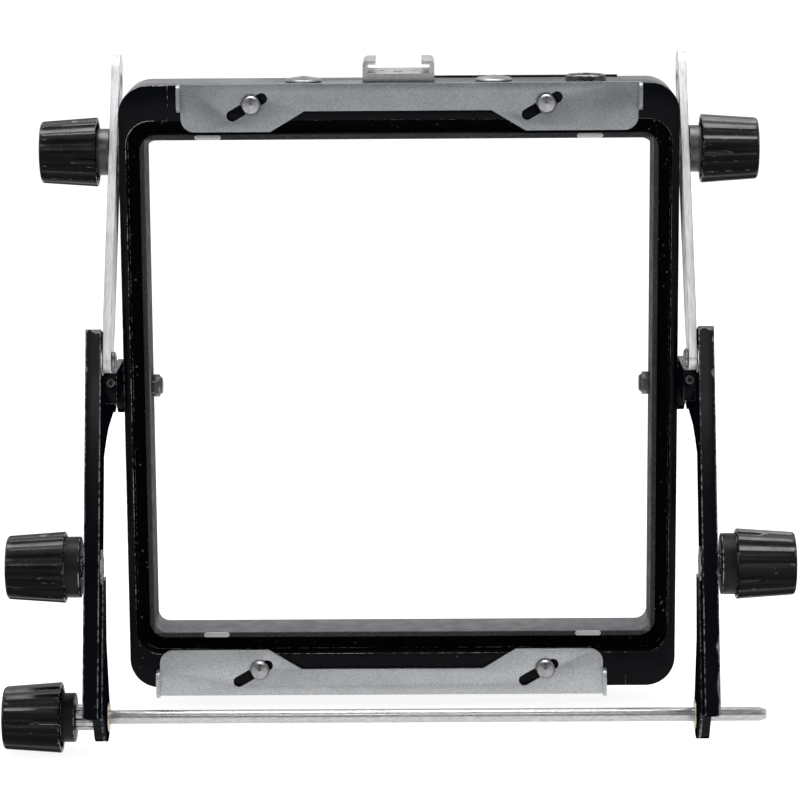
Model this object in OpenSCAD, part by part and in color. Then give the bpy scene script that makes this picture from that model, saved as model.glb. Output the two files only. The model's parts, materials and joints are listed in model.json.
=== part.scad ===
// Board frame of a large-format view camera. The square frame tilts about its own
// middle between two leaning side arms, slotted struts steady its top, and two
// sliding plates lock the board in its seat. A rod joins the feet of the arms.
// Origin: the rod's axis, midway between the arms. +Z up, +Y towards the bellows.

/* [Frame] */
// Overall width of the frame
frame_w = 164; // [160:1:170]
// Overall height of the frame
frame_h = 181.8; // [178:0.2:186]
// Depth of the frame, front to back
frame_d = 21; // [19:1:24]
// Radius of the frame's outer corners
frame_corner_r = 8.8; // [6:0.2:11]
// Width and height of the clear opening
opening = 149; // [146:0.5:150]
// Width of the board's seat
seat_w = 159.6; // [158.5:0.1:159.8]
// Height of the board's seat
seat_h = 161; // [159:0.5:163]
// Depth of the seat's floor behind the front face
seat_depth = 6.2; // [5:0.1:7]
// Width of the raised lip around the opening
lip_w = 1.6; // [1.2:0.1:2]
// How far the lip's front stands behind the front face
lip_setback = 3; // [2.5:0.1:3.6]
// Half the length of the straight top and bottom bars, at their joints
bar_half = 67.3; // [66:0.1:69]

/* [Board locks] */
// Distance between the two slots of a lock plate
lock_slot_pitch = 86; // [80:1:90]
// Angle of the slots above level
lock_slot_angle = 30; // [25:1:35]
// Distance between the two end centres of a slot
lock_slot_run = 10; // [8:0.5:12]
// How far up its slots each stud stands, top plate, from 0 to 1
top_lock_rest = 0.64; // [0.4:0.01:0.8]
// How far up its slots each stud stands, bottom plate, from 0 to 1
bottom_lock_rest = 0.73; // [0.4:0.01:0.8]

/* [Arms] */
// Lean of the arms from upright, feet forward
arm_lean = 19; // [15:1:22]
// Thickness of each arm
arm_t = 4.5; // [4:0.1:5]
// Width of the arm's upright bar
arm_bar_w = 12; // [10:0.5:14]
// Gap from the frame's side to the arm
arm_gap = 3.7; // [3.6:0.1:4.2]

/* [Struts] */
// Width of the strut
strut_w = 11.5; // [10:0.5:12]
// Thickness of the strut
strut_t = 2.4; // [2:0.1:2.4]
// Width of the strut's slot
strut_slot_w = 6.2; // [6:0.1:6.6]

/* [Knobs] */
// Diameter at the big end of a knob
knob_big_d = 20.7; // [19:0.1:22]
// Diameter at the small end of a knob
knob_small_d = 18.2; // [17:0.1:18.8]
// Length of a knob
knob_len = 16.8; // [15:0.1:19]
// Number of grip flutes
knob_flutes = 12; // [8:1:16]

/* [Rod] */
// Diameter of the rod
rod_d = 4; // [3.8:0.1:4.4]
// How far the rod's tip reaches past the right arm
rod_tip_len = 14.9; // [8:0.1:20]

/* [Hidden] */

$fn = 96;
cut = 0.5;         // how far a cutter runs past the face it opens
run_fit = 0.05;    // radial clearance of a turning fit
slide_gap = 0.15;  // gap between faces that slide past each other

// Frame, measured from the tilt axis at its centre
front_y = -frame_d / 2;
rear_y = frame_d / 2;
side_x = frame_w / 2;
top_z = frame_h / 2;
floor_y = front_y + seat_depth;
lip_y = front_y + lip_setback;
rebate_y = rear_y - 3.6;
rebate = opening + 5;

// Arms: points along (a, upwards) and across (b, backwards) the leaning arm
arm_in = side_x + arm_gap;
arm_out = arm_in + arm_t;
rod_at = [-99.8, -21.9];
nut_at = [-57.6, -37.1];
arm_front_b = -42.6;
arm_rear_b = arm_front_b + arm_bar_w;
arm_top_a = 10.3;
arm_foot_a = -100.9;
ear_r = 8;
ear_out = arm_in + 3.4;
foot_r = 7;
foot_in = arm_in - 0.8;
foot_out = foot_in + 3.5;
function arm_yz(ab) = [ab[0] * sin(arm_lean) + ab[1] * cos(arm_lean),
                       ab[0] * cos(arm_lean) - ab[1] * sin(arm_lean)];
tilt_axis = -arm_yz(rod_at);   // the tilt axis seen from the rod, [y, z]

// Struts
strut_pivot = [-36.5, 14];
upper_knob_at = [0.4, 70.3];
strut_run = upper_knob_at - strut_pivot;
strut_angle = atan2(strut_run[1], strut_run[0]);
strut_far = 93.1;
strut_end_r = 3.2;
strut_taper = 12;
strut_slot_from = 55.4 + strut_slot_w / 2;
strut_slot_to = 93.3 - strut_slot_w / 2;
washer_t = 0.7;
strut_x = side_x + washer_t + slide_gap;
strut_screw_r = 1.5;
upper_stud_r = 2;

// Lock plates, measured from the middle of their narrow part
lock_t = 1.1;
lock_y = front_y - 0.1;
lock_short = 63.3;
lock_long = 70;
lock_wide = 14;
lock_narrow = 8;
lock_narrow_half = 27.25;
lock_slope = 10;
lock_slot_mid = -1;
lock_slot_in = 6.8;
lock_slot_w = 3.3;
lock_corner_r = 4;
tab_h = 8;
tab_len = 5;
tab_t = 1;
tab_r = 2;
stud_in = 5.7;
stud_x = lock_slot_pitch / 2;
stud_r = 1.5;
stud_head_r = 3;
stud_head_t = 2.2;

// Knob stacks, distances from the middle of the object
upper_collar_x = strut_x + strut_t + slide_gap;
upper_knob_x = 89;
arm_collar_x = arm_out + 1.1;
arm_knob_x = arm_collar_x + 4.4;
rod_collar_x = arm_out + 3.9;
rod_knob_x = rod_collar_x + 4;
arm_stud_r = 3.5;
nut_r = 5;
nut_depth = 2;
rod_r = rod_d / 2;
knob_core_r = 5.2;
knob_rim_depth = 4;

// ---------- helpers ----------

module at_tilt_axis() translate([0, tilt_axis[0], tilt_axis[1]]) children();

// Places children drawn for the right side on the given side
module on_side(side) at_tilt_axis() mirror([side == "left" ? 1 : 0, 0, 0]) children();

module round_rect(w, h, r) {
    square([w - 2 * r, h], center = true);
    square([w, h - 2 * r], center = true);
    for (x = [-1, 1], z = [-1, 1]) translate([x * (w / 2 - r), z * (h / 2 - r)]) circle(r);
}

// Extrudes an outline drawn in X and Z between two depths
module slab(y0, y1) translate([0, y1, 0]) rotate([90, 0, 0]) linear_extrude(y1 - y0) children();

// Extrudes an outline drawn in Y and Z between two widths
module side_slab(x0, x1) translate([x0, 0, 0]) rotate([90, 0, 90]) linear_extrude(x1 - x0) children();

// Cylinder along X at a point given in Y and Z
module x_pin(x0, x1, r, at = [0, 0])
    translate([x0, at[0], at[1]]) rotate([0, 90, 0]) cylinder(r = r, h = x1 - x0);

// Cylinder along Y at a point given in X and Z
module y_pin(y0, y1, r, at) translate([at[0], y1, at[1]]) rotate([90, 0, 0]) cylinder(r = r, h = y1 - y0);

// Turned shape along X from points of radius and distance
module x_turned(x0, points, at = [0, 0])
    translate([x0, at[0], at[1]]) rotate([0, 90, 0]) rotate_extrude() polygon(points);

module hex_prism(x0, x1, flats)
    translate([x0, 0, 0]) rotate([0, 90, 0]) cylinder(d = flats / cos(30), h = x1 - x0, $fn = 6);

// Straight slot with round ends, centred, along the outline's first axis
module slot_2d(run, w) {
    square([run, w], center = true);
    for (s = [-1, 1]) translate([s * run / 2, 0]) circle(d = w);
}

// ---------- frame ----------

module frame_ring() difference() {
    slab(front_y, rear_y) round_rect(frame_w, frame_h, frame_corner_r);
    slab(front_y - cut, floor_y) difference() {
        round_rect(seat_w, seat_h, 7.2);
        round_rect(opening + 2 * lip_w, opening + 2 * lip_w, 5);
    }
    slab(front_y - cut, lip_y) round_rect(opening + 2 * lip_w + 1, opening + 2 * lip_w + 1, 5);
    slab(front_y - cut, rear_y + cut) round_rect(opening, opening, 3.5);
    slab(rebate_y, rear_y + cut) round_rect(rebate, rebate, 5);
    frame_bores();
    each_clip() clip_leg();
}

module frame_bores() {
    for (s = [-1, 1]) {
        x_pin(s > 0 ? opening / 2 - 1 : -side_x - 1, s > 0 ? side_x + 1 : 1 - opening / 2, 2);
        x_pin(s > 0 ? side_x - 5.5 : -side_x - 1, s > 0 ? side_x + 1 : 5.5 - side_x,
            upper_stud_r + run_fit, upper_knob_at);
        for (z = [-1, 1]) y_pin(front_y - 1, front_y + 6, stud_r, [s * stud_x, z * (top_z - stud_in)]);
    }
}

// The part of the ring between two widths, on one half of the height or on both
module ring_part(x0, x1, z0, z1) intersection() {
    frame_ring();
    translate([x0, front_y - 1, z0]) cube([x1 - x0, frame_d + 2, z1 - z0]);
}

// Holes for the screws that join the bars to the side castings
module joint_screw_holes(r, reach)
    for (s = [-1, 1], z = [-1, 1])
        x_pin(s * bar_half - reach, s * bar_half + reach, r, [3, z * (top_z - 8)]);

module frame_left_side() color("#16181b") at_tilt_axis() difference() {
    ring_part(-side_x - 1, -bar_half, -top_z - 1, top_z + 1);
    joint_screw_holes(1.5, 6);
}

module frame_right_side() color("#16181b") at_tilt_axis() difference() {
    ring_part(bar_half, side_x + 1, -top_z - 1, top_z + 1);
    joint_screw_holes(1.5, 6);
}

cap_x = 28;
level_x = 55;
shoe_screw_x = 6;
shoe_y = 1.2;
rib_h = 0.5;
module frame_top_bar() color("#16181b") at_tilt_axis() difference() {
    union() {
        ring_part(-bar_half, bar_half, 0, top_z + 1);
        translate([10.5, rear_y - 1.6, top_z - 1]) cube([bar_half - 13, 1.6, 1 + rib_h]);
    }
    joint_screw_holes(1.5, 6);
    for (x = [-cap_x, cap_x]) translate([x, 0, top_z - 5]) cylinder(r = 2.5, h = 7);
    translate([level_x, 0, top_z - 4]) cylinder(r = 5, h = 6);
    for (x = [-shoe_screw_x, shoe_screw_x]) translate([x, shoe_y, top_z - 5]) cylinder(r = 1, h = 7);
}

module frame_bottom_bar() color("#16181b") at_tilt_axis() difference() {
    ring_part(-bar_half, bar_half, -top_z - 1, 0);
    joint_screw_holes(1.5, 6);
}

module frame_joint_screws() color("silver") at_tilt_axis() joint_screw_holes(1.5, 5);

lining_t = 0.3;
module seat_lining() color("#101010") at_tilt_axis() slab(floor_y - lining_t, floor_y) difference() {
    round_rect(seat_w - 0.4, seat_h - 0.4, 7);
    round_rect(opening + 2 * lip_w + 0.4, opening + 2 * lip_w + 0.4, 5);
}

// Four retaining clips, each a small tab on the lip with a leg pressed into the bar
clip_w = 7.7;
clip_h = 1.5;
clip_t = 0.35;
clip_x = 56;
clip_leg_len = 8;
module each_clip() for (x = [-clip_x, clip_x], z = [-1, 1])
    translate([x, lip_y, z * (opening + lip_w) / 2]) children();

module clip_leg() translate([1 - clip_w / 2, -cut, -clip_t / 2]) cube([clip_w - 2, clip_leg_len + cut, clip_t]);

module bellows_clips() color("#b9bcbd") at_tilt_axis() each_clip() union() {
    slab(-clip_t, 0) slot_2d(clip_w - clip_h, clip_h);
    intersection() {
        clip_leg();
        translate([-clip_w, -clip_t, -1]) cube([2 * clip_w, clip_leg_len + 1, 2]);
    }
}

// ---------- board locks ----------

// Drawn with its outer edge up and the middle of its narrow part at zero
module lock_outline() difference() {
    union() {
        polygon([[-lock_short, 0], [-lock_short, lock_corner_r - lock_wide],
            [lock_corner_r - lock_short, -lock_wide], [-lock_narrow_half - lock_slope, -lock_wide],
            [-lock_narrow_half, -lock_narrow], [lock_narrow_half, -lock_narrow],
            [lock_narrow_half + lock_slope, -lock_wide], [lock_long - lock_corner_r, -lock_wide],
            [lock_long, lock_corner_r - lock_wide], [lock_long, 0]]);
        for (x = [lock_corner_r - lock_short, lock_long - lock_corner_r])
            translate([x, lock_corner_r - lock_wide]) circle(lock_corner_r);
    }
    for (s = [-1, 1]) translate([lock_slot_mid + s * lock_slot_pitch / 2, -lock_slot_in])
        rotate(lock_slot_angle) slot_2d(lock_slot_run, lock_slot_w);
}

module lock_plate() {
    slab(lock_y - lock_t, lock_y) lock_outline();
    for (x = [-lock_short - tab_t, lock_long]) side_slab(x, x + tab_t) tab_outline();
}

// Finger tab seen from the side, with round front corners
module tab_outline() {
    translate([lock_y - tab_len + tab_r, -tab_h]) square([tab_len - tab_r, tab_h]);
    translate([lock_y - tab_len, tab_r - tab_h]) square([tab_len, tab_h - 2 * tab_r]);
    for (z = [tab_r - tab_h, -tab_r]) translate([lock_y - tab_len + tab_r, z]) circle(tab_r);
}

// Where the middle of a slot stands while its stud is at the given place in it
function lock_shift(rest) = (0.5 - rest) * lock_slot_run * [cos(lock_slot_angle), sin(lock_slot_angle)];

module top_lock_plate() color("#8e9295") at_tilt_axis() {
    s = lock_shift(top_lock_rest);
    translate([s[0] - lock_slot_mid, 0, top_z - stud_in + s[1] + lock_slot_in]) lock_plate();
}

module bottom_lock_plate() color("#a7aaad") at_tilt_axis() {
    s = lock_shift(bottom_lock_rest);
    translate([s[0] + lock_slot_mid, 0, stud_in - top_z + s[1] - lock_slot_in])
        rotate([0, 180, 0]) lock_plate();
}

// Shouldered studs that hold and guide the lock plates
module lock_studs() color("silver") at_tilt_axis()
    for (x = [-stud_x, stud_x], z = [stud_in - top_z, top_z - stud_in])
        translate([x, 0, z]) rotate([90, 0, 0]) rotate_extrude() polygon([
            [0, -front_y - 5.5], [stud_r, -front_y - 5.5], [stud_r, lock_t - lock_y + 0.1],
            [stud_head_r, lock_t - lock_y + 0.1], [stud_head_r, lock_t - lock_y + 0.7],
            [stud_head_r - 0.6, lock_t - lock_y + 1.6], [0, lock_t - lock_y + stud_head_t]]);

// ---------- top fittings ----------

shoe_w = 21;
shoe_d = 17.5;
shoe_h = 6.6;
shoe_base_t = 2.9;
shoe_wall_t = 1.2;
shoe_rail_w = 3.8;
shoe_curl_r = 1.5;
shoe_root_r = 0.8;
// Cross-section of the shoe, seen from the front
module shoe_outline() difference() {
    union() {
        translate([-shoe_w / 2, 0]) square([shoe_w, shoe_h - shoe_curl_r]);
        translate([shoe_curl_r - shoe_w / 2, 0]) square([shoe_w - 2 * shoe_curl_r, shoe_h]);
        for (s = [-1, 1]) translate([s * (shoe_w / 2 - shoe_curl_r), shoe_h - shoe_curl_r]) circle(shoe_curl_r);
    }
    translate([0, (shoe_base_t + shoe_h - shoe_wall_t) / 2])
        round_rect(shoe_w - 2 * shoe_wall_t, shoe_h - shoe_wall_t - shoe_base_t, shoe_root_r);
    translate([shoe_rail_w - shoe_w / 2, shoe_base_t]) square([shoe_w - 2 * shoe_rail_w, shoe_h]);
}

module accessory_shoe() color("#c3c5c6") at_tilt_axis() translate([0, shoe_y, top_z]) difference() {
    slab(-shoe_d / 2, shoe_d / 2) shoe_outline();
    for (x = [-shoe_screw_x, shoe_screw_x]) translate([x, 0, -1]) {
        cylinder(r = 1, h = shoe_h);
        translate([0, 0, shoe_base_t]) cylinder(r = 2, h = 2);
    }
    translate([0, -3, shoe_base_t - 1]) cylinder(r = 1.35, h = 2);
}

module shoe_screws() color("silver") at_tilt_axis() for (x = [-shoe_screw_x, shoe_screw_x])
    translate([x, shoe_y, top_z - 4.5]) {
        cylinder(r = 1, h = shoe_base_t + 4);
        translate([0, 0, shoe_base_t + 3.5]) cylinder(r = 2, h = 0.9);
    }

module shoe_stop_rivet() color("silver") at_tilt_axis()
    translate([0, shoe_y - 3, top_z + shoe_base_t - 1]) cylinder(r = 1.35, h = 1.3);

module level_housing() color("#2b2d2f") at_tilt_axis() translate([level_x, 0, top_z - 4]) difference() {
    union() {
        cylinder(r = 5, h = 4);
        translate([0, 0, 4]) cylinder(r1 = 6.05, r2 = 5.7, h = 1.5);
    }
    translate([0, 0, 1]) cylinder(r = 4.4, h = 6);
}

module level_glass() color("#dfe6d2") at_tilt_axis() translate([level_x, 0, top_z - 3]) cylinder(r = 4.4, h = 4.2);

module top_caps() color("#7d8083") at_tilt_axis() for (x = [-cap_x, cap_x])
    translate([x, 0, top_z]) rotate_extrude() polygon([[0, -4.6], [2.5, -4.6], [2.5, 0],
        [5.35, 0], [5.35, 0.5], [4.9, 0.8], [1, 1.5], [0, 1.5]]);

// ---------- tilt pivot ----------

disc_r = 8;
disc_t = 2.6;
notch_z = 6.6;
notch_y = -sqrt(disc_r * disc_r - notch_z * notch_z);
// Round pad on the frame's side, with the notch of the upright stop
module tilt_disc(side) color("#16181b") on_side(side) difference() {
    x_pin(side_x, side_x + disc_t, disc_r);
    x_pin(side_x - 1, side_x + 4, 3.5);
    translate([side_x + 1.3, notch_y - 3, notch_z]) rotate([-90, 0, 0]) cylinder(r = 0.9, h = 4);
}

module tilt_bush(side) color("#8b8d8f") on_side(side) difference() {
    union() {
        x_pin(side_x, side_x + disc_t, 3.5);
        x_pin(side_x + disc_t, arm_in - 0.3, 6.5);
    }
    x_pin(side_x - 1, arm_in, 2);
}

screw_head_t = 2.4;
screw_face_t = 0.9;
// Turns in the arm's ear and is fast in the frame's side
module pivot_screw(side) color("#6f7173") on_side(side) {
    x_pin(opening / 2, ear_out, 2);
    hex_prism(opening / 2 - screw_head_t, opening / 2, 6);
    x_turned(opening / 2 - screw_head_t - screw_face_t, [[0, 0], [2.2, 0], [2.9, screw_face_t], [0, screw_face_t]]);
}

// ---------- arms ----------

// Outline drawn from points given along and across the arm
module arm_polygon(points) polygon([for (p = points) arm_yz(p)]);

// The upright bar, the ear that carries the tilt pivot, and the foot that holds the rod
module arm(side) color("#16181b") on_side(side) difference() {
    union() {
        side_slab(arm_in, arm_out) arm_polygon([[arm_top_a, arm_front_b], [arm_top_a, arm_rear_b],
            [arm_foot_a, arm_rear_b], [arm_foot_a, arm_front_b]]);
        side_slab(arm_in, ear_out) {
            arm_polygon([[8, arm_rear_b - 3], [8, arm_rear_b], [ear_r - 0.2, -2], [0.2 - ear_r, -2],
                [-15, -18], [-20, -25], [-25, arm_rear_b], [-25, arm_rear_b - 3]]);
            circle(ear_r);
        }
        side_slab(foot_in, foot_out) {
            arm_polygon([[-60, arm_rear_b - 3], [-60, arm_rear_b], [-78, arm_rear_b + 3],
                rod_at + [5.4, 4.4], rod_at, rod_at - [4.5, 5.3], [arm_foot_a + 1, arm_rear_b - 3]]);
            translate(arm_yz(rod_at)) circle(foot_r);
        }
    }
    x_pin(foot_in - 1, arm_out + 1, 2 + run_fit);
    x_pin(foot_in - 1, arm_out + 1, strut_screw_r, strut_pivot);
    x_pin(foot_in - 1, arm_out + 1, arm_stud_r + run_fit, arm_yz(nut_at));
    x_pin(foot_in - 1, arm_in + nut_depth, nut_r, arm_yz(nut_at));
    x_pin(foot_in - 1, arm_out + 1, 2.6, arm_yz(rod_at));
}

block_x = side_x + 0.3;
block_front = -30;
block_rear = -9;
block_low = 0.4;
block_high = 9.4;
bore_at = 6.7;
// Holds the spring plunger that finds the frame's upright position
module stop_block(side) color("#1b1d20") on_side(side) difference() {
    translate([block_x, block_front, block_low])
        cube([arm_in - block_x, block_rear - block_front, block_high - block_low]);
    translate([block_x + 1.8, block_front - 1, bore_at]) rotate([-90, 0, 0]) cylinder(r = 1.3, h = 30);
}

module each_block_bore() for (side = ["left", "right"])
    on_side(side) translate([block_x + 1.8, 0, bore_at]) rotate([-90, 0, 0]) children();

module stop_screws() color("#202225") each_block_bore() translate([0, 0, block_front - 0.6]) difference() {
    cylinder(r = 1.3, h = 5);
    translate([0, 0, -1]) cylinder(r = 0.7, h = 2.8, $fn = 6);
}

spring_r = 0.95;
module stop_springs() color("silver") each_block_bore() for (k = [0:7])
    translate([0, 0, block_front + 4.9 + k * 1.15]) rotate_extrude() translate([spring_r, 0]) circle(0.25, $fn = 16);

plunger_r = 0.8;
// The nose stands just clear of the disc, as when pressed back
plunger_end = -sqrt(pow(disc_r + 0.25, 2) - pow(bore_at - plunger_r, 2)) - block_front - 13.6;
module stop_plungers() color("#b08d4f") each_block_bore()
    translate([0, 0, block_front + 13.6]) rotate_extrude() polygon([[0, 0], [1.25, 0], [1.25, 8.6],
        [plunger_r, 9], [plunger_r, plunger_end - 0.4], [plunger_r - 0.4, plunger_end], [0, plunger_end]]);

// ---------- struts ----------

strut_tip = strut_pivot + strut_far * [cos(strut_angle), sin(strut_angle)];
// Flat bar, tapered towards its pivot
module strut_outline() translate(strut_pivot) rotate(strut_angle)
    polygon([[0, strut_end_r - 0.03], [strut_taper, strut_w / 2], [strut_far, strut_w / 2],
        [strut_far, -strut_w / 2], [strut_taper, -strut_w / 2], [0, 0.03 - strut_end_r]]);

module strut_slot() translate(strut_pivot) rotate(strut_angle)
    translate([(strut_slot_from + strut_slot_to) / 2, 0]) slot_2d(strut_slot_to - strut_slot_from, strut_slot_w);

module strut(side) color("#d5d7d8") on_side(side) difference() {
    union() {
        side_slab(strut_x, strut_x + strut_t) strut_outline();
        x_pin(strut_x, strut_x + strut_t, strut_end_r, strut_pivot);
        x_pin(strut_x, strut_x + strut_t, strut_w / 2, strut_tip);
    }
    x_pin(strut_x - 1, strut_x + strut_t + 1, strut_screw_r + run_fit, strut_pivot);
    side_slab(strut_x - 1, strut_x + strut_t + 1) strut_slot();
}

module strut_screws() color("#232527") for (side = ["left", "right"]) on_side(side) {
    x_pin(strut_x - slide_gap, arm_in + 3, strut_screw_r, strut_pivot);
    x_turned(strut_x - slide_gap - 1.1, [[0, 0], [2.4, 0], [3, 0.5], [3, 1.1], [0, 1.1]], strut_pivot);
}

module strut_spacers() color("silver") for (side = ["left", "right"]) on_side(side) difference() {
    x_pin(strut_x + strut_t + slide_gap, arm_in, 4, strut_pivot);
    x_pin(strut_x, arm_in + 1, strut_screw_r, strut_pivot);
}

// ---------- clamp knobs ----------

module washer(x0, x1, r, hole_r, at) difference() {
    x_pin(x0, x1, r, at);
    x_pin(x0 - 1, x1 + 1, hole_r, at);
}

module flute_cuts() for (k = [0 : knob_flutes - 1]) rotate([0, 0, k * 360 / knob_flutes])
    translate([knob_big_d / 2 + 1.15, 0, -1]) rotate([0, -3.4, 0]) cylinder(r = 2.1, h = knob_len - 1.2, $fn = 32);

// Big end at zero, towards the arm, hollow behind the rim
module knob_cap(x0, at, bore_r, bore_depth) translate([x0, at[0], at[1]]) rotate([0, 90, 0]) difference() {
    rotate_extrude() polygon([[0, 0], [knob_core_r, 0], [knob_core_r, knob_rim_depth],
        [knob_big_d / 2 - 2, knob_rim_depth], [knob_big_d / 2 - 1.6, 0], [knob_big_d / 2 - 0.4, 0],
        [knob_big_d / 2, 0.5], [knob_small_d / 2, knob_len - 2.4], [knob_small_d / 2 - 0.5, knob_len - 1.2],
        [knob_small_d / 2 - 1.5, knob_len - 0.5], [5, knob_len - 0.1], [0, knob_len]]);
    flute_cuts();
    translate([0, 0, -1]) cylinder(r = bore_r, h = bore_depth + 1);
}

module upper_washer(side) color("#8b8d8f") on_side(side)
    washer(side_x, side_x + washer_t, 6.75, upper_stud_r + run_fit, upper_knob_at);

module upper_collar(side) color("#4a4c4e") on_side(side)
    washer(upper_collar_x, upper_knob_x, 6.9, upper_stud_r + run_fit, upper_knob_at);

module upper_stud(side) color("silver") on_side(side) x_pin(side_x - 5, upper_knob_x + 10, upper_stud_r, upper_knob_at);

module upper_knob(side) color("#111214") on_side(side) knob_cap(upper_knob_x, upper_knob_at, upper_stud_r, 10);

module arm_nut(side) color("#3a3c3f") on_side(side)
    washer(arm_in - 0.4, arm_in + nut_depth, nut_r, arm_stud_r + run_fit, arm_yz(nut_at));

module arm_collar(side) color("#1d1f21") on_side(side)
    washer(arm_collar_x, arm_knob_x, 8.75, arm_stud_r + run_fit, arm_yz(nut_at));

module arm_stud(side) color("silver") on_side(side) x_pin(arm_in - 0.3, arm_knob_x + 10, arm_stud_r, arm_yz(nut_at));

module arm_knob(side) color("#111214") on_side(side) knob_cap(arm_knob_x, arm_yz(nut_at), arm_stud_r, 10);

// ---------- rod ----------

module rod_bushes() color("#a3895a") for (side = ["left", "right"]) on_side(side) difference() {
    union() {
        x_pin(foot_in, foot_out, 2.6, arm_yz(rod_at));
        x_pin(foot_in - 0.6, foot_in, 4.2, arm_yz(rod_at));
    }
    x_pin(arm_in - 2, arm_out + 1, rod_r + run_fit, arm_yz(rod_at));
}

rod_taper = 2;
// A plain rod, tapered at the free end
module rod() color("#c9cbcc") {
    x_pin(-rod_knob_x - 10, arm_out + rod_tip_len - rod_taper, rod_r);
    x_turned(arm_out + rod_tip_len - rod_taper, [[0, 0], [rod_r, 0], [rod_r - 0.6, rod_taper], [0, rod_taper]]);
}

module rod_stem() color("#55585a") washer(-rod_collar_x, -foot_out - slide_gap, 3.8, rod_r, [0, 0]);

module rod_collar() color("#1d1f21") washer(-rod_knob_x, -rod_collar_x, 7.1, rod_r, [0, 0]);

module rod_knob() color("#111214") mirror([1, 0, 0]) knob_cap(rod_knob_x, [0, 0], rod_r + run_fit, 11);

// ---------- assembly ----------

frame_left_side();
frame_right_side();
frame_top_bar();
frame_bottom_bar();
seat_lining();
bellows_clips();
frame_joint_screws();
top_lock_plate();
bottom_lock_plate();
lock_studs();
accessory_shoe();
shoe_screws();
shoe_stop_rivet();
level_housing();
level_glass();
top_caps();
tilt_disc("left");  // left_tilt_disc
tilt_disc("right");  // right_tilt_disc
tilt_bush("left");  // left_tilt_bush
tilt_bush("right");  // right_tilt_bush
pivot_screw("left");  // left_pivot_screw
pivot_screw("right");  // right_pivot_screw
arm("left");  // left_arm
arm("right");  // right_arm
stop_block("left");  // left_stop_block
stop_block("right");  // right_stop_block
stop_screws();
stop_springs();
stop_plungers();
strut("left");  // left_strut
strut("right");  // right_strut
strut_screws();
strut_spacers();
upper_washer("left");  // left_upper_washer
upper_collar("left");  // left_upper_collar
upper_stud("left");  // left_upper_stud
upper_knob("left");  // left_upper_knob
upper_washer("right");  // right_upper_washer
upper_collar("right");  // right_upper_collar
upper_stud("right");  // right_upper_stud
upper_knob("right");  // right_upper_knob
arm_nut("left");  // left_arm_nut
arm_collar("left");  // left_arm_collar
arm_stud("left");  // left_arm_stud
arm_knob("left");  // left_arm_knob
arm_nut("right");  // right_arm_nut
arm_collar("right");  // right_arm_collar
arm_stud("right");  // right_arm_stud
arm_knob("right");  // right_arm_knob
rod_bushes();
rod();
rod_stem();
rod_collar();
rod_knob();
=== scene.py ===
import json
import math

import bmesh
import bpy
from mathutils import Matrix, Vector


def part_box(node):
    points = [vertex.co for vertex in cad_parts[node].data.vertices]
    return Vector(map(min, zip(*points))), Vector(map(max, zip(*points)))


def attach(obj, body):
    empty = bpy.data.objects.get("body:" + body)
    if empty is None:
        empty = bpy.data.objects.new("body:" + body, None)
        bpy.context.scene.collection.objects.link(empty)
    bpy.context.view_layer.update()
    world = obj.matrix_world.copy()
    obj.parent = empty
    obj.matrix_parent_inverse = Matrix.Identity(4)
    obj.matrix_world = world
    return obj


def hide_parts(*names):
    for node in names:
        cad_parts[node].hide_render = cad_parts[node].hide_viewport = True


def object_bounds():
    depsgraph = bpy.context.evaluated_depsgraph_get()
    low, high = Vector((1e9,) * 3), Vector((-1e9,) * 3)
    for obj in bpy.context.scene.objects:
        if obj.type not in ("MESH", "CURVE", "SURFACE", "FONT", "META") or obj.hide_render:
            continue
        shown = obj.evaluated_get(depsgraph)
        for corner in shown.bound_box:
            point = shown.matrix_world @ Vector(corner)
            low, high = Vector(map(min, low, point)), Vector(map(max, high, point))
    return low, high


MM = 0.001
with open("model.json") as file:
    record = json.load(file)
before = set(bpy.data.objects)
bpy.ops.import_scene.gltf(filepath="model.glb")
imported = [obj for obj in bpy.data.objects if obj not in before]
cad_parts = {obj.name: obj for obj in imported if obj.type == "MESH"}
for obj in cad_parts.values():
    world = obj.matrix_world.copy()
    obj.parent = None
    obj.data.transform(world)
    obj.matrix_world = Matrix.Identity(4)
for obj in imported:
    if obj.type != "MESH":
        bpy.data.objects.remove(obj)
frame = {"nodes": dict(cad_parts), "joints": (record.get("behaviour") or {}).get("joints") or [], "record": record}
cad_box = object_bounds()
JOINTS = {j["name"]: j for j in frame["joints"]}
TILT = Vector(JOINTS["frame_tilt"]["pos_m"])
BODY_OF = {n: b for b, nodes in frame["record"]["behaviour"]["bodies"].items() for n in nodes}
SLOT_OF = {p["node"]: p["material_slot"] for p in frame["record"]["subparts"]}
ARM_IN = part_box("right_arm")[0].x
ARM_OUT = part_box("right_arm")[1].x
FOOT_STEP = 0.8 * MM    # how far the foot stands inside the arm's bar
ARM_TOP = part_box("right_arm")[1].z
OPENING_HALF = frame["record"]["physics"]["openings"][0]["box_m"][1][2] - TILT.z + 0.5 * MM


# ---------- camera, floor and light ----------

CAMERA_FROM_TILT = Vector((0.006, -0.953, 0.184))
CAMERA_PITCH = 11.21
CAMERA_AIM_X = -0.00025    # how far beside the tilt axis the camera looks
CAMERA_ROLL = -0.40
CAMERA_LENS = 145.8          # mm, on a sensor 36 mm wide
FLOOR_HALF = 12.0
FLOOR_GLOW = 0.9             # the floor's own light, which keeps the shadows faint
LIGHT_AIM = (0.0, 0.0, 0.1)
# name, place, width and height, brightness
LIGHTS = (
    ("over", (0.0, 0.15, 1.15), (0.8, 0.6), 7.0),
    ("left", (-1.4, -0.5, 0.7), (0.7, 0.9), 2.2),
    ("right", (1.4, -0.5, 0.7), (0.7, 0.9), 2.2),
    ("front", (0.0, -1.6, 1.3), (1.0, 0.5), 3.0),
)


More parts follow.
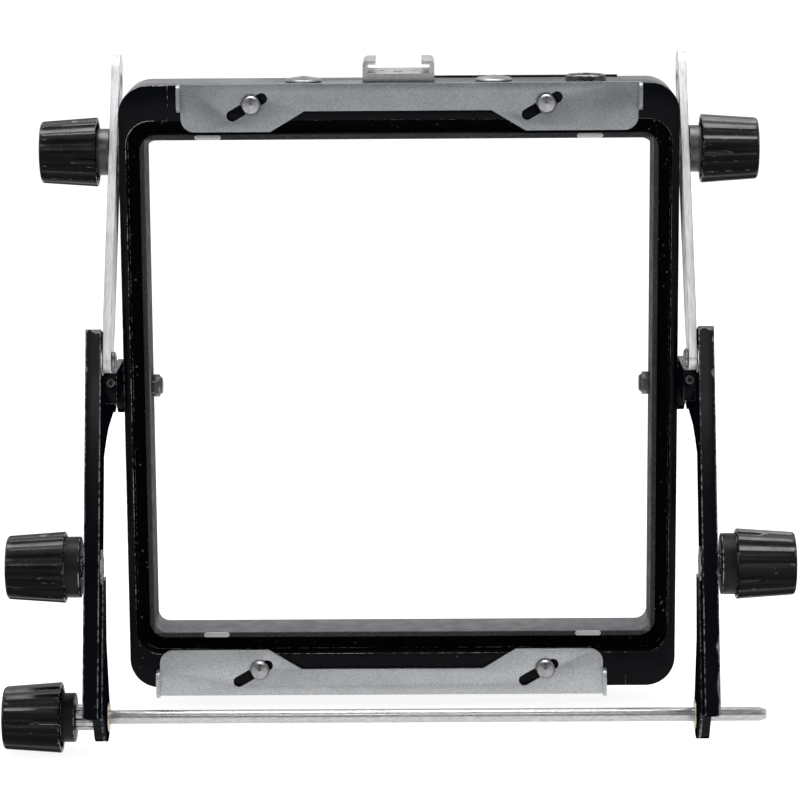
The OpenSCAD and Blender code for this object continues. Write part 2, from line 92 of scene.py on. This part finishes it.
def make_camera():
    """A long lens a little above the tilt axis, looking down at the frame."""
    camera = bpy.data.objects.new("camera", bpy.data.cameras.new("camera"))
    bpy.context.scene.collection.objects.link(camera)
    bpy.context.scene.camera = camera
    camera.data.sensor_width = 36.0
    camera.data.lens = CAMERA_LENS
    camera.data.clip_end = 60.0
    camera.location = TILT + CAMERA_FROM_TILT
    yaw = math.atan2(CAMERA_FROM_TILT.x - CAMERA_AIM_X, -CAMERA_FROM_TILT.y)
    pitch = math.radians(CAMERA_PITCH)
    look = Vector((-math.sin(yaw) * math.cos(pitch), math.cos(yaw) * math.cos(pitch), -math.sin(pitch)))
    turn = look.to_track_quat("-Z", "Y").to_matrix().to_4x4()
    roll = Matrix.Rotation(math.radians(CAMERA_ROLL), 4, "Z")
    camera.matrix_world = Matrix.Translation(camera.location) @ turn @ roll


def area_light(name, place, aim, size, radiance):
    """A soft rectangular light whose surface has the given brightness."""
    data = bpy.data.lights.new(name, "AREA")
    data.shape = "RECTANGLE"
    data.size, data.size_y = size
    data.energy = radiance * math.pi * size[0] * size[1]
    light = bpy.data.objects.new(name, data)
    bpy.context.scene.collection.objects.link(light)
    light.location = place
    light.rotation_euler = (Vector(aim) - Vector(place)).to_track_quat("-Z", "Y").to_euler()


def make_stage():
    """A plain pale floor under the object, the world and the lights."""
    mesh = bpy.data.meshes.new("floor")
    bm = bmesh.new()
    bmesh.ops.create_grid(bm, x_segments=8, y_segments=8, size=FLOOR_HALF)
    bm.to_mesh(mesh)
    bm.free()
    floor = bpy.data.objects.new("floor", mesh)
    bpy.context.scene.collection.objects.link(floor)
    floor.location.z = cad_box[0][2]
    m, bsdf = material("floor_pale", (0.3, 0.3, 0.3), 0.9, Specular_IOR_Level=0.0)
    bsdf.inputs["Emission Color"].default_value = (1.0, 1.0, 1.0, 1.0)
    bsdf.inputs["Emission Strength"].default_value = FLOOR_GLOW
    mesh.materials.append(m)
    make_world()
    for name, place, size, radiance in LIGHTS:
        area_light(name, place, LIGHT_AIM, size, radiance)
    bpy.context.scene.view_settings.view_transform = "Standard"


def make_world():
    """White above and behind the object, dark towards the camera's side."""
    world = bpy.data.worlds.new("studio")
    bpy.context.scene.world = world
    world.use_nodes = True
    tree = world.node_tree
    split = tree.nodes.new("ShaderNodeSeparateXYZ")
    tree.links.new(tree.nodes.new("ShaderNodeTexCoord").outputs["Generated"], split.inputs[0])
    fade = tree.nodes.new("ShaderNodeMapRange")
    tree.links.new(split.outputs["Y"], fade.inputs["Value"])
    fade.inputs["From Min"].default_value = -0.75
    fade.inputs["From Max"].default_value = 0.35
    fade.inputs["To Min"].default_value = 0.16
    fade.inputs["To Max"].default_value = 0.8
    background = tree.nodes["Background"]
    background.inputs["Color"].default_value = (0.96, 0.98, 1.0, 1.0)
    tree.links.new(fade.outputs["Result"], background.inputs["Strength"])


# ---------- materials ----------

def material(name, colour, roughness, metallic=0.0, **sockets):
    """A material and its shader; other sockets are given by name, with _ for each space."""
    m = bpy.data.materials.new(name)
    m.use_nodes = True
    bsdf = m.node_tree.nodes["Principled BSDF"]
    bsdf.inputs["Base Color"].default_value = (*colour, 1.0)
    bsdf.inputs["Roughness"].default_value = roughness
    bsdf.inputs["Metallic"].default_value = metallic
    for key, value in sockets.items():
        bsdf.inputs[key.replace("_", " ")].default_value = value
    return m, bsdf


class Graph:
    """Short names for the nodes that the materials share."""

    def __init__(self, m):
        self.tree = m.node_tree
        self.place = self.new("ShaderNodeTexCoord").outputs["Object"]

    def new(self, kind, **settings):
        node = self.tree.nodes.new(kind)
        for key, value in settings.items():
            setattr(node, key, value)
        return node

    def link(self, source, target):
        if isinstance(source, bpy.types.NodeSocket):
            self.tree.links.new(source, target)
        else:
            target.default_value = source

    def stretch(self, scale):
        node = self.new("ShaderNodeMapping")
        self.link(self.place, node.inputs["Vector"])
        node.inputs["Scale"].default_value = scale
        return node.outputs["Vector"]

    def noise(self, scale, detail=3.0, rough=0.55, vector=None):
        node = self.new("ShaderNodeTexNoise")
        self.link(self.place if vector is None else vector, node.inputs["Vector"])
        node.inputs["Scale"].default_value = scale
        node.inputs["Detail"].default_value = detail
        node.inputs["Roughness"].default_value = rough
        return node.outputs["Fac"]

    def specks(self, scale, size, vector=None):
        """Small round spots, one at the most to each cell."""
        node = self.new("ShaderNodeTexVoronoi")
        self.link(self.place if vector is None else vector, node.inputs["Vector"])
        node.inputs["Scale"].default_value = scale
        return self.ramp(node.outputs["Distance"], size, size * 0.4)

    def ramp(self, value, low, high, to_low=0.0, to_high=1.0):
        node = self.new("ShaderNodeMapRange", interpolation_type="SMOOTHSTEP")
        self.link(value, node.inputs["Value"])
        node.inputs["From Min"].default_value = low
        node.inputs["From Max"].default_value = high
        node.inputs["To Min"].default_value = to_low
        node.inputs["To Max"].default_value = to_high
        return node.outputs["Result"]

    def math(self, operation, a, b=0.0):
        node = self.new("ShaderNodeMath", operation=operation)
        self.link(a, node.inputs[0])
        self.link(b, node.inputs[1])
        return node.outputs[0]

    def mix(self, factor, a, b):
        node = self.new("ShaderNodeMix", data_type="RGBA")
        self.link(factor, node.inputs["Factor"])
        for value, socket in ((a, node.inputs["A"]), (b, node.inputs["B"])):
            self.link(value if isinstance(value, bpy.types.NodeSocket) else (*value, 1.0), socket)
        return node.outputs["Result"]

    def blend(self, factor, a, b):
        """a where factor is 0 and b where it is 1, for plain numbers."""
        return self.ramp(factor, 0.0, 1.0, a, b)

    def worn(self):
        """1 on the faces that rounding made, 0 elsewhere."""
        node = self.new("ShaderNodeAttribute", attribute_name="worn")
        return node.outputs["Fac"]

    def axis(self, index, output="Object"):
        node = self.new("ShaderNodeSeparateXYZ")
        source = self.place if output == "Object" else self.new("ShaderNodeNewGeometry").outputs["Normal"]
        self.link(source, node.inputs[0])
        return node.outputs[index]

    def bump(self, bsdf, height, strength, distance=0.0001):
        node = self.new("ShaderNodeBump")
        node.inputs["Strength"].default_value = strength
        node.inputs["Distance"].default_value = distance
        self.link(height, node.inputs["Height"])
        self.link(node.outputs["Normal"], bsdf.inputs["Normal"])


def shine_by_facing(g, bsdf, up_level):
    """Faces that look up mirror the lamp above; fronts shine a little and the sides stay dark."""
    up = g.ramp(g.axis(2, "Normal"), 0.2, 0.8, 0.0, up_level)
    front = g.ramp(g.math("ABSOLUTE", g.axis(1, "Normal")), 0.6, 0.9, 0.0, 0.07)
    g.link(g.math("MAXIMUM", up, front), bsdf.inputs["Specular IOR Level"])


def black_paint(name, amount, arms=False):
    """Gloss black enamel, worn to grey metal along its edges and chipped beside them."""
    m, bsdf = material(name, (0.003, 0.004, 0.005), 0.28)
    g = Graph(m)
    patches = g.noise(60.0, 4.0, 0.6)
    fine = g.noise(700.0, 3.0, 0.6)
    broken = g.math("ADD", g.math("MULTIPLY", patches, 0.45), g.math("MULTIPLY", fine, 0.55))
    mask = g.math("MULTIPLY", g.worn(), g.ramp(broken, 0.6 - amount, 0.7 - amount))
    if arms:
        beside = g.math("SUBTRACT", ARM_OUT, g.math("ABSOLUTE", g.axis(0)))
        sideways = g.math("ABSOLUTE", g.axis(0, "Normal"))
        near = g.math("MULTIPLY", g.ramp(beside, 1.3 * MM, 0.1 * MM), g.ramp(sideways, 0.6, 0.3))
        low_right = g.math("MULTIPLY", g.ramp(g.axis(2), TILT.z - 52.0 * MM, TILT.z - 66.0 * MM),
                           g.ramp(g.axis(0), 0.0, 1.0 * MM))
        near = g.math("MULTIPLY", near, g.blend(low_right, 0.1, 0.42))
        tops = g.ramp(g.axis(2), ARM_TOP - 2.6 * MM, ARM_TOP - 0.4 * MM, 0.0, 0.27)
        flakes = g.math("ADD", g.noise(210.0, 2.0, 0.4), g.math("MAXIMUM", near, tops))
        mask = g.math("MAXIMUM", mask, g.ramp(flakes, 0.76, 0.775))
        inside = g.math("ABSOLUTE", g.math("SUBTRACT", g.math("ABSOLUTE", g.axis(0)), ARM_IN + FOOT_STEP))
        line = g.math("MAXIMUM", g.ramp(beside, 0.42 * MM, 0.26 * MM), g.ramp(inside, 0.42 * MM, 0.26 * MM))
        line = g.math("MULTIPLY", line, g.ramp(sideways, 0.6, 0.3))
        mask = g.math("MAXIMUM", mask, g.math("MULTIPLY", line, g.ramp(broken, 0.44, 0.54, 0.1, 0.85)))
    nicks = g.specks(300.0, 0.1)
    mask = g.math("MAXIMUM", mask, g.math("MULTIPLY", nicks, g.ramp(g.noise(25.0), 0.5, 0.7, 0.0, 0.8)))
    dust = g.ramp(g.noise(1500.0, 2.0, 0.7), 0.6, 0.8, 0.0, 0.3)
    body = g.mix(dust, (0.0014, 0.0018, 0.003), (0.02, 0.021, 0.024))
    bare = g.mix(g.ramp(fine, 0.35, 0.65), (0.07, 0.072, 0.075), (0.2, 0.203, 0.21))
    bare = g.mix(g.worn(), bare, (0.4, 0.405, 0.41))
    g.link(g.mix(mask, body, bare), bsdf.inputs["Base Color"])
    shine_by_facing(g, bsdf, 0.5)
    smears = g.ramp(g.noise(35.0, 4.0), 0.35, 0.75, 0.22, 0.36)
    g.link(g.math("ADD", smears, g.math("MULTIPLY", mask, 0.2)), bsdf.inputs["Roughness"])
    g.bump(bsdf, g.noise(1400.0, 2.0), 0.12)
    return m


def frame_paint():
    """The frame's paint: gloss outside, and satin dark grey on the lip and the opening's walls."""
    m = black_paint("frame_paint", 0.12)
    g = Graph(m)
    bsdf = m.node_tree.nodes["Principled BSDF"]
    across = g.math("ABSOLUTE", g.axis(0))
    up = g.math("ABSOLUTE", g.math("SUBTRACT", g.axis(2), TILT.z))
    reach = g.math("MAXIMUM", across, up)
    lip = g.ramp(reach, OPENING_HALF + 1.9 * MM, OPENING_HALF + 1.7 * MM)
    wall = g.ramp(reach, OPENING_HALF + 0.25 * MM, OPENING_HALF + 0.15 * MM)
    grain = g.noise(2200.0, 3.0, 0.7)
    streaks = g.noise(220.0, 3.0, 0.6)
    satin = g.mix(g.ramp(grain, 0.35, 0.7), (0.02, 0.021, 0.023), (0.05, 0.052, 0.055))
    chalky = g.mix(g.ramp(streaks, 0.3, 0.75), (0.075, 0.077, 0.08), (0.14, 0.142, 0.147))
    inner = g.mix(wall, satin, chalky)
    outer = bsdf.inputs["Base Color"].links[0].from_socket
    g.link(g.mix(lip, outer, inner), bsdf.inputs["Base Color"])
    gloss = bsdf.inputs["Roughness"].links[0].from_socket
    g.link(g.math("MAXIMUM", gloss, g.math("MULTIPLY", lip, 0.55)), bsdf.inputs["Roughness"])
    return m


def flock():
    """Matte black flock with lint and grit caught in it."""
    m, bsdf = material("flock", (0.006, 0.006, 0.006), 1.0, Specular_IOR_Level=0.05)
    g = Graph(m)
    pile = g.noise(3000.0, 2.0, 0.8)
    grit = g.math("MULTIPLY", g.specks(460.0, 0.2), g.ramp(g.noise(120.0), 0.45, 0.58))
    lint = g.ramp(g.noise(260.0, 2.0, 0.5, g.stretch((1.0, 1.0, 0.35))), 0.73, 0.8, 0.0, 0.5)
    dirt = g.math("MAXIMUM", grit, lint)
    side = g.ramp(g.math("ABSOLUTE", g.axis(0)), 0.070, 0.077)
    dirt = g.math("MULTIPLY", dirt, g.blend(side, 0.25, 1.0))
    pile_colour = g.mix(g.ramp(pile, 0.4, 0.75), (0.001, 0.001, 0.001), (0.007, 0.0068, 0.0065))
    g.link(g.mix(dirt, pile_colour, (0.2, 0.195, 0.18)), bsdf.inputs["Base Color"])
    g.bump(bsdf, pile, 0.6, 0.0002)
    return m


def blasted_metal(name, colour, rub):
    """Bead-blasted sheet steel: fine grain, soft blotches, rubbed bright at its edges."""
    m, bsdf = material(name, colour, 0.42, 0.85)
    g = Graph(m)
    grain = g.noise(3600.0, 2.0, 0.7)
    blotch = g.noise(70.0, 4.0, 0.6)
    dark = tuple(c * 0.76 for c in colour)
    light = tuple(min(1.0, c * 1.18) for c in colour)
    tone = g.math("ADD", g.math("MULTIPLY", grain, 0.7), g.math("MULTIPLY", blotch, 0.3))
    base = g.mix(g.ramp(tone, 0.38, 0.62), dark, light)
    stain = g.ramp(g.noise(45.0, 3.0, 0.7, g.stretch((0.5, 1.0, 2.5))), 0.64, 0.78, 0.0, 0.35)
    base = g.mix(stain, base, tuple(c * 0.6 for c in colour))
    g.link(g.mix(g.math("MULTIPLY", g.worn(), rub), base, (0.75, 0.76, 0.77)), bsdf.inputs["Base Color"])
    rough = g.ramp(blotch, 0.3, 0.7, 0.38, 0.48)
    g.link(g.math("SUBTRACT", rough, g.math("MULTIPLY", g.worn(), 0.12)), bsdf.inputs["Roughness"])
    g.bump(bsdf, grain, 0.2, 0.00005)
    return m


def brushed_metal(name, colour, stretch, roughness=0.3, metallic=1.0, depth=0.12):
    """Bare metal with fine lines along the direction that stretch makes long."""
    m, bsdf = material(name, colour, roughness, metallic)
    g = Graph(m)
    lines = g.noise(1600.0, 3.0, 0.6, g.stretch(stretch))
    marks = g.noise(120.0, 4.0, 0.65)
    dark = tuple(c * 0.82 for c in colour)
    light = tuple(min(1.0, c * 1.1) for c in colour)
    base = g.mix(g.ramp(lines, 0.3, 0.7), dark, light)
    base = g.mix(g.ramp(marks, 0.62, 0.8, 0.0, 0.3), base, tuple(c * 0.5 for c in colour))
    g.link(base, bsdf.inputs["Base Color"])
    g.link(g.ramp(marks, 0.3, 0.75, roughness * 0.85, roughness * 1.35), bsdf.inputs["Roughness"])
    g.bump(bsdf, lines, depth, 0.00005)
    return m


def knob_plastic():
    """Gloss black plastic, with a few specks, and grey dashes along the flute edges that are partly rubbed ridges and
    partly a painted highlight.
    """
    m, bsdf = material("knob_plastic", (0.003, 0.003, 0.004), 0.3, Specular_IOR_Level=0.24)
    g = Graph(m)
    # the grey dashes on the marked flute edges are rubbed plastic and also a painted highlight
    rubbed = g.math("MULTIPLY", g.worn(), g.ramp(g.noise(420.0, 3.0), 0.58, 0.7, 0.0, 0.8))
    specks = g.math("MULTIPLY", g.specks(520.0, 0.1), g.ramp(g.noise(70.0), 0.5, 0.66, 0.0, 0.7))
    film = g.ramp(g.noise(90.0, 4.0, 0.6), 0.45, 0.75, 0.0, 0.3)
    base = g.mix(film, (0.0025, 0.0025, 0.003), (0.012, 0.012, 0.013))
    g.link(g.mix(g.math("MAXIMUM", rubbed, specks), base, (0.16, 0.16, 0.165)), bsdf.inputs["Base Color"])
    g.link(g.ramp(g.noise(150.0, 3.0), 0.35, 0.75, 0.2, 0.3), bsdf.inputs["Roughness"])
    g.link(g.ramp(g.axis(2, "Normal"), -0.2, 0.6, 0.05, 0.42), bsdf.inputs["Specular IOR Level"])
    g.bump(bsdf, g.noise(1100.0, 2.0), 0.08)
    return m


def dark_metal(name, colour, roughness=0.4, metallic=0.6, **sockets):
    """Blotchy satin metal, rubbed bright at its edges."""
    m, bsdf = material(name, colour, roughness, metallic, **sockets)
    g = Graph(m)
    blotch = g.noise(260.0, 4.0, 0.65)
    rub = g.math("MULTIPLY", g.worn(), g.ramp(g.noise(500.0, 3.0), 0.42, 0.6, 0.0, 0.8))
    base = g.mix(g.ramp(blotch, 0.35, 0.7), tuple(c * 0.7 for c in colour), tuple(c * 1.35 for c in colour))
    g.link(g.mix(rub, base, (0.35, 0.35, 0.355)), bsdf.inputs["Base Color"])
    g.link(g.ramp(blotch, 0.3, 0.75, roughness * 0.85, roughness * 1.25), bsdf.inputs["Roughness"])
    g.bump(bsdf, g.noise(2500.0, 2.0), 0.15, 0.00005)
    return m


def strut_metal():
    """Bright aluminium strip, brushed along its length, with a darker grey line along each rounded corner."""
    m = brushed_metal("strut_aluminium", (0.66, 0.665, 0.67), (1.0, 0.15, 0.1), 0.45, 0.75, 0.05)
    g = Graph(m)
    base = m.node_tree.nodes["Principled BSDF"].inputs["Base Color"]
    g.link(g.mix(g.math("MULTIPLY", g.worn(), 0.85), base.links[0].from_socket, (0.16, 0.162, 0.165)), base)
    return m


def turned_metal():
    """Lathe-turned face: the highlight splits into a fan about the axis of each stud."""
    m, bsdf = material("turned_metal", (0.34, 0.34, 0.35), 0.34, 1.0, Anisotropic=0.85)
    g = Graph(m)
    g.link(g.new("ShaderNodeTangent", direction_type="RADIAL", axis="Y").outputs[0], bsdf.inputs["Tangent"])
    dirt = g.ramp(g.noise(700.0, 3.0), 0.55, 0.75, 0.0, 0.4)
    g.link(g.mix(dirt, (0.34, 0.34, 0.35), (0.16, 0.16, 0.17)), bsdf.inputs["Base Color"])
    g.link(g.ramp(g.noise(900.0, 2.0), 0.3, 0.7, 0.24, 0.36), bsdf.inputs["Roughness"])
    return m


def vial_glass():
    """The level's glass: pale, with a clear coat."""
    m, bsdf = material("vial_glass", (0.62, 0.66, 0.6), 0.06, Coat_Weight=1.0)
    g = Graph(m)
    g.link(g.mix(g.ramp(g.noise(300.0), 0.4, 0.7), (0.5, 0.54, 0.5), (0.66, 0.69, 0.64)), bsdf.inputs["Base Color"])
    return m


def make_materials():
    return {
        "frame_paint": frame_paint(),
        "arm_paint": black_paint("arm_paint", 0.2, arms=True),
        "black_paint": black_paint("black_paint", 0.14),
        "flock": flock(),
        "spring_clip": blasted_metal("spring_clip", (0.42, 0.42, 0.43), 0.4),
        "screw_steel": dark_metal("screw_steel", (0.4, 0.4, 0.41), 0.3, 1.0),
        # lock_metal_dark and lock_metal_light are one bead-blasted steel: the top plate's darker copy is painted
        # shade and the bottom plate's lighter copy is painted light
        "lock_metal_dark": blasted_metal("lock_metal_dark", (0.26, 0.27, 0.28), 0.9),
        "lock_metal_light": blasted_metal("lock_metal_light", (0.42, 0.43, 0.44), 0.8),
        "turned_steel": turned_metal(),
        "shoe_metal": blasted_metal("shoe_metal", (0.43, 0.43, 0.44), 0.9),
        "level_body": dark_metal("level_body", (0.03, 0.03, 0.032)),
        "level_glass": vial_glass(),
        "cap_metal": dark_metal("cap_metal", (0.3, 0.305, 0.31), 0.35, 0.9),
        "bush_metal": dark_metal("bush_metal", (0.25, 0.25, 0.255), 0.35, 1.0),
        "dark_screw": dark_metal("dark_screw", (0.05, 0.05, 0.053), 0.35),
        "brass": brushed_metal("brass", (0.5, 0.45, 0.36), (1.0, 1.0, 1.0), 0.3),
        "strut_aluminium": strut_metal(),
        "collar_metal": dark_metal("collar_metal", (0.075, 0.074, 0.072), 0.36, 0.75),
        "black_collar": dark_metal("black_collar", (0.006, 0.006, 0.007), 0.42, 0.0,
                                   Specular_IOR_Level=0.14),
        "knob_plastic": knob_plastic(),
        "rod_steel": brushed_metal("rod_steel", (0.5, 0.5, 0.505), (0.3, 1.0, 1.0), 0.3, 0.9, 0.05),
    }


# ---------- pieces ----------

WELD = 0.002 * MM            # points nearer than this are one point
FLAT_ANGLE = 0.3             # degrees; faces that differ by less become one face
SHARP_ANGLE = 32.0           # degrees; edges that bend more are rounded
EDGE_WIDTH = 0.25            # mm


def cad_copy(node):
    """A copy of a CAD node's mesh, with its seams closed and its flat faces whole."""
    bm = bmesh.new()
    bm.from_mesh(frame["nodes"][node].data)
    bmesh.ops.remove_doubles(bm, verts=bm.verts, dist=WELD)
    bmesh.ops.dissolve_limit(bm, angle_limit=math.radians(FLAT_ANGLE), verts=bm.verts, edges=bm.edges)
    return bm


def sharp_edges(bm):
    limit = math.radians(SHARP_ANGLE)
    return [e for e in bm.edges if e.is_manifold and e.calc_face_angle(0.0) > limit]


def round_edges(bm, width):
    """Rounds the sharp edges and marks the new faces as worn."""
    worn = bm.faces.layers.float.get("worn") or bm.faces.layers.float.new("worn")
    done = bmesh.ops.bevel(bm, geom=sharp_edges(bm), offset=width, offset_type="OFFSET", segments=2,
                           profile=0.6, affect="EDGES", clamp_overlap=True)
    for face in done["faces"]:
        face[worn] = 1.0
    return bm


def piece(name, bm, body, mat, replaces=(), sharp=40.0):
    """Makes the mesh into an object that rides its body and stands in for the nodes it replaces."""
    mesh = bpy.data.meshes.new(name)
    bmesh.ops.recalc_face_normals(bm, faces=bm.faces)
    bm.to_mesh(mesh)
    bm.free()
    mesh.materials.append(mat)
    obj = bpy.data.objects.new(name, mesh)
    bpy.context.scene.collection.objects.link(obj)
    mesh.shade_smooth()
    mesh.set_sharp_from_angle(angle=math.radians(sharp))
    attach(obj, body)
    if replaces:
        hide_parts(*replaces)
    return obj


def refined(node, mat):
    """The CAD node with rounded edges, in its place."""
    bm = round_edges(cad_copy(node), EDGE_WIDTH * MM)
    return piece(node + "_finished", bm, BODY_OF[node], mat, [node])


def loft(rows):
    """Joins equal rings of points; the first and last rings are capped."""
    bm = bmesh.new()
    rings = [[bm.verts.new(p) for p in row] for row in rows]
    for low, high in zip(rings, rings[1:]):
        for i in range(len(low)):
            j = (i + 1) % len(low)
            bm.faces.new((low[i], low[j], high[j], high[i]))
    bm.faces.new(rings[0])
    bm.faces.new(rings[-1][::-1])
    return bm


def axis_of(node):
    """Inner end, direction outwards, length, and the Y and Z of a turned node along X."""
    low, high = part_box(node)
    side = 1.0 if low.x + high.x > 0.0 else -1.0
    start = low.x if side > 0.0 else high.x
    return start, side, high.x - low.x, (low.y + high.y) / 2.0, (low.z + high.z) / 2.0


def turned_rows(node, profile, radius_at, steps):
    """Rings along X: radius_at gives the radius at a profile point and an angle."""
    start, side, _, y, z = axis_of(node)
    rows = []
    for along, radius in profile:
        row = []
        for k in range(steps):
            angle = 2.0 * math.pi * k / steps
            r = radius_at(along, radius, angle)
            row.append((start + side * along, y + r * math.cos(angle), z + r * math.sin(angle)))
        rows.append(row)
    return rows


KNOB_FLUTES = 12
KNOB_BIG = 10.2 * MM
KNOB_SMALL = 9.1 * MM
FLUTE_SHARE = 0.68           # share of each pitch that the flute takes
FLUTE_DEPTH = 0.5 * MM
NOTCH_DEPTH = 0.45 * MM
NOTCH_SHARE = 0.34
NOTCH_EVERY = 3              # one flute in three has a notch
NOTCH_REACH = 0.47           # share of the grip's length that a notch runs from the rim
KNOB_CORNER = 0.95 * MM
STEPS_PER_FLUTE = 24
# the hollow back and the rim: distance along the axis and radius, mm
KNOB_BACK = ((3.6, 5.0), (3.6, 8.6), (1.2, 9.1), (0.15, 9.35), (0.0, 9.55), (0.0, 10.0), (0.15, 10.2))


def knob(node, mat, phase):
    """Tapered grip with shallow concave flutes, deeper notches by the rim, and a hollow back."""
    length = axis_of(node)[2]
    taper_end = length - 1.1 * MM
    profile = [(a * MM, r * MM) for a, r in KNOB_BACK]
    for k in range(13):
        along = 0.4 * MM + (taper_end - 0.4 * MM) * k / 12.0
        profile.append((along, KNOB_BIG + (KNOB_SMALL - KNOB_BIG) * along / taper_end))
    for k in range(1, 6):
        turn = math.radians(18.0 * k)
        profile.append((taper_end + KNOB_CORNER * math.sin(turn), KNOB_SMALL - KNOB_CORNER * (1.0 - math.cos(turn))))
    profile += [(length - 0.1 * MM, 5.0 * MM), (length - 0.05 * MM, 1.0 * MM)]

    def radius_at(along, radius, angle):
        place = (angle + phase) * KNOB_FLUTES / (2.0 * math.pi)
        across = 2.0 * (place - math.floor(place)) - 1.0
        if radius < KNOB_SMALL - 0.6 * MM or along < 0.05 * MM:
            return radius
        cut = 0.0
        if abs(across) < FLUTE_SHARE:
            cut = FLUTE_DEPTH * (1.0 - (across / FLUTE_SHARE) ** 2)
        if int(math.floor(place)) % NOTCH_EVERY == 0 and abs(across) < NOTCH_SHARE:
            fade = max(0.0, min(1.0, (NOTCH_REACH * length - along) / (1.2 * MM)))
            cut += NOTCH_DEPTH * fade * (1.0 - (across / NOTCH_SHARE) ** 2)
        if along > taper_end:
            cut *= max(0.0, 1.0 - (along - taper_end) / KNOB_CORNER)
        return radius - cut

    bm = loft(turned_rows(node, profile, radius_at, KNOB_FLUTES * STEPS_PER_FLUTE))
    worn = bm.faces.layers.float.new("worn")
    start, side, _, y, z = axis_of(node)
    # faces along each flute edge and at the rim are marked worn; on the flute edges the grey they get is partly a
    # painted highlight
    for face in bm.faces:
        middle = face.calc_center_median()
        along = side * (middle.x - start)
        ridge = (math.atan2(middle.z - z, middle.y - y) + phase) * KNOB_FLUTES / (2.0 * math.pi)
        across = abs(2.0 * (ridge - math.floor(ridge)) - 1.0)
        near_edge = abs(across - FLUTE_SHARE) < 0.04 or along < 0.3 * MM
        face[worn] = 1.0 if near_edge else 0.0
    piece(node + "_grip", bm, BODY_OF[node], mat, [node], 24.0)


def threaded(node, mat, radius, pitch, groove):
    """A stud with a real screw thread along its whole length."""
    length = axis_of(node)[2]
    count = int(length / pitch * 8)

    def radius_at(along, r, angle):
        turn = (along / pitch + angle / (2.0 * math.pi)) % 1.0
        return r - groove * abs(2.0 * turn - 1.0)

    profile = [(length * k / count, radius) for k in range(count + 1)]
    bm = loft(turned_rows(node, profile, radius_at, 40))
    piece(node + "_thread", bm, BODY_OF[node], mat, [node], 60.0)


RIB_DEPTH = 0.75 * MM
STEM_CHAMFER = 0.5 * MM


def ribbed_stem(node, mat):
    """Stem with round ribs along it, chamfered at each end."""
    length = axis_of(node)[2]
    low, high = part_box(node)
    outer = (high.z - low.z) / 2.0

    def radius_at(along, r, angle):
        rib = abs(math.sin(4.0 * angle + 0.5))
        return r - RIB_DEPTH * (1.0 - rib ** 0.7)

    profile = [(0.0, outer - STEM_CHAMFER), (STEM_CHAMFER / 2.0, outer), (length * 0.5, outer),
               (length - STEM_CHAMFER / 2.0, outer), (length, outer - STEM_CHAMFER)]
    bm = loft(turned_rows(node, profile, radius_at, 160))
    piece(node + "_ribs", bm, BODY_OF[node], mat, [node], 50.0)


STUD_HEAD_R = 3.0
# neck, rim and crown: distance back from the crown and radius, mm
STUD_PROFILE = ((3.4, 1.5), (2.15, 1.5), (2.15, 2.9), (2.05, 3.0), (1.65, 3.0), (1.5, 2.94), (0.9, 2.6), (0.62, 2.38))


def lock_stud_heads(mat):
    """Each stud head turned about its own axis, with fine lathe rings on its crown."""
    low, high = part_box("lock_studs")
    head_r = STUD_HEAD_R * MM
    crown = low.y
    places = [(x, z) for x in (low.x + head_r, high.x - head_r) for z in (low.z + head_r, high.z - head_r)]
    profile = list(STUD_PROFILE)
    profile += [(0.58 - 0.036 * k - 0.02 * (k % 2), 2.25 - 0.16 * k) for k in range(14)]
    for index, (x, z) in enumerate(places):
        rows = []
        for along, radius in profile:
            rows.append([(radius * MM * math.cos(a), along * MM, radius * MM * math.sin(a))
                         for a in (2.0 * math.pi * k / 64 for k in range(64))])
        obj = piece("lock_stud_%d" % (index + 1), loft(rows), "frame", mat,
                    ["lock_studs"] if index == 0 else [], 30.0)
        obj.location = (x, crown, z)


# how far each grip is turned, radians
KNOBS = {"left_upper_knob": 0.1, "right_upper_knob": 0.32, "left_arm_knob": 0.22, "right_arm_knob": 0.02,
         "rod_knob": 0.42}
# radius and pitch of each thread, mm
STUDS = {"left_arm_stud": (3.5, 1.0), "right_arm_stud": (3.5, 1.0), "left_upper_stud": (2.0, 0.7),
         "right_upper_stud": (2.0, 0.7)}
GROOVE = 0.28                # depth of a thread's groove, as a share of its pitch
# nodes whose material is not the one named like their slot
BY_NODE = {"rod_stem": "screw_steel", "left_arm": "arm_paint", "right_arm": "arm_paint",
           "left_arm_collar": "black_collar", "right_arm_collar": "black_collar", "rod_collar": "black_collar",
           "left_arm_nut": "black_collar", "right_arm_nut": "black_collar"}


def make_all(materials):
    """One visual piece for every CAD node, or several for the lock studs."""
    for node in frame["nodes"]:
        slot = SLOT_OF[node]
        mat = materials[BY_NODE.get(node, slot)]
        if node in KNOBS:
            knob(node, mat, KNOBS[node])
        elif node in STUDS:
            radius, pitch = STUDS[node]
            threaded(node, mat, radius * MM, pitch * MM, GROOVE * pitch * MM)
        elif node == "rod_stem":
            ribbed_stem(node, mat)
        elif node == "lock_studs":
            lock_stud_heads(materials["turned_steel"])
        elif node.startswith("frame_") and slot == "black_paint":
            refined(node, materials["frame_paint"])
        else:
            refined(node, mat)


make_camera()
make_stage()
make_all(make_materials())
